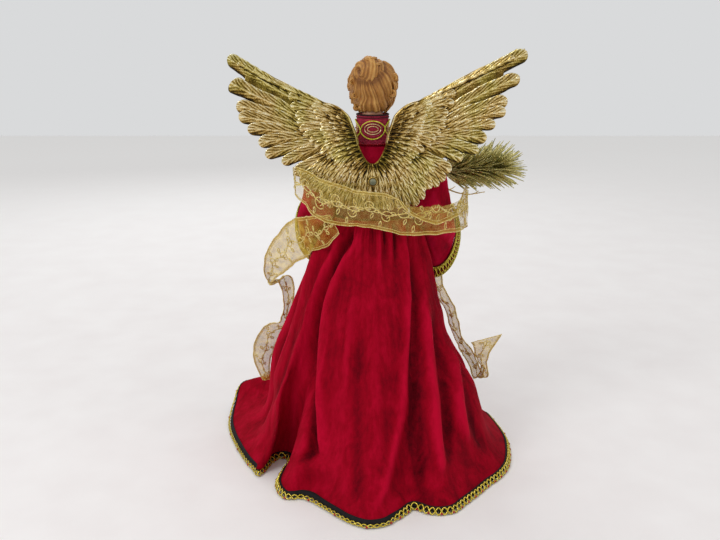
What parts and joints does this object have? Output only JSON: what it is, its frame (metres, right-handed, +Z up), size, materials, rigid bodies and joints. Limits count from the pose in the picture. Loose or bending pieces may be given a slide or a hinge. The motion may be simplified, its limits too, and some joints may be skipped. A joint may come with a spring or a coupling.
{
  "type": "angel tree topper",
  "caption": "Angel tree topper: a velvet-gowned figure with spread feathered wings and ribbons, built round a hollow cone that slips over a tree's tip.",
  "frame": {"origin": "on the axis of the hollow cone, in the plane of its bottom rim, where the topper stands on a table", "axes": "+Z up along the cone; the angel faces -Y and its wings are at +Y; +X is the angel's left hand"},
  "size_m": [0.3077, 0.2425, 0.386],
  "materials": {
    "cone_board": "matte cream moulded plastic",
    "core_plastic": "satin moulded plastic",
    "velvet_bodice": "crimson pile velvet",
    "waist_tape": "woven tape",
    "velvet_gown": "crimson pile velvet",
    "hem_trim": "black braid with metallic gold loops and red beads",
    "skin": "painted satin skin",
    "hair": "moulded light-brown hair with darker grooves",
    "collar_braid": "red gimp braid with lime-gold cords",
    "wire": "drawn soft wire",
    "arm_padding": "wound padding",
    "velvet_sleeve": "crimson pile velvet",
    "cuff_braid": "red braid edged with metallic gold and red beads",
    "ribbon": "sheer gold organza with glitter scrolls and wired edges",
    "gilt_wing": "antiqued gilt paint on moulded plastic, brown in the recesses",
    "screw": "zinc-plated steel",
    "sprig": "gold-green glittered needles"
  },
  "bodies": {
    "root": {"tree_cone": "cone_board", "torso": "core_plastic", "bodice": "velvet_bodice", "waist_tape": "waist_tape", "gown": "velvet_gown", "hem_trim": "hem_trim", "head": "skin", "hair": "hair", "collar_braid": "collar_braid", "arm_wire": "wire", "arm_left": "arm_padding", "arm_right": "arm_padding", "hand_left": "skin", "hand_right": "skin", "sleeve_left": "velvet_sleeve", "sleeve_right": "velvet_sleeve", "cuff_left": "cuff_braid", "cuff_right": "cuff_braid", "ribbon_swag": "ribbon", "ribbon_left": "ribbon", "ribbon_right": "ribbon", "wing_panel": "gilt_wing", "wing_screw": "screw", "pine_sprig": "sprig"}
  },
  "joints": []
}
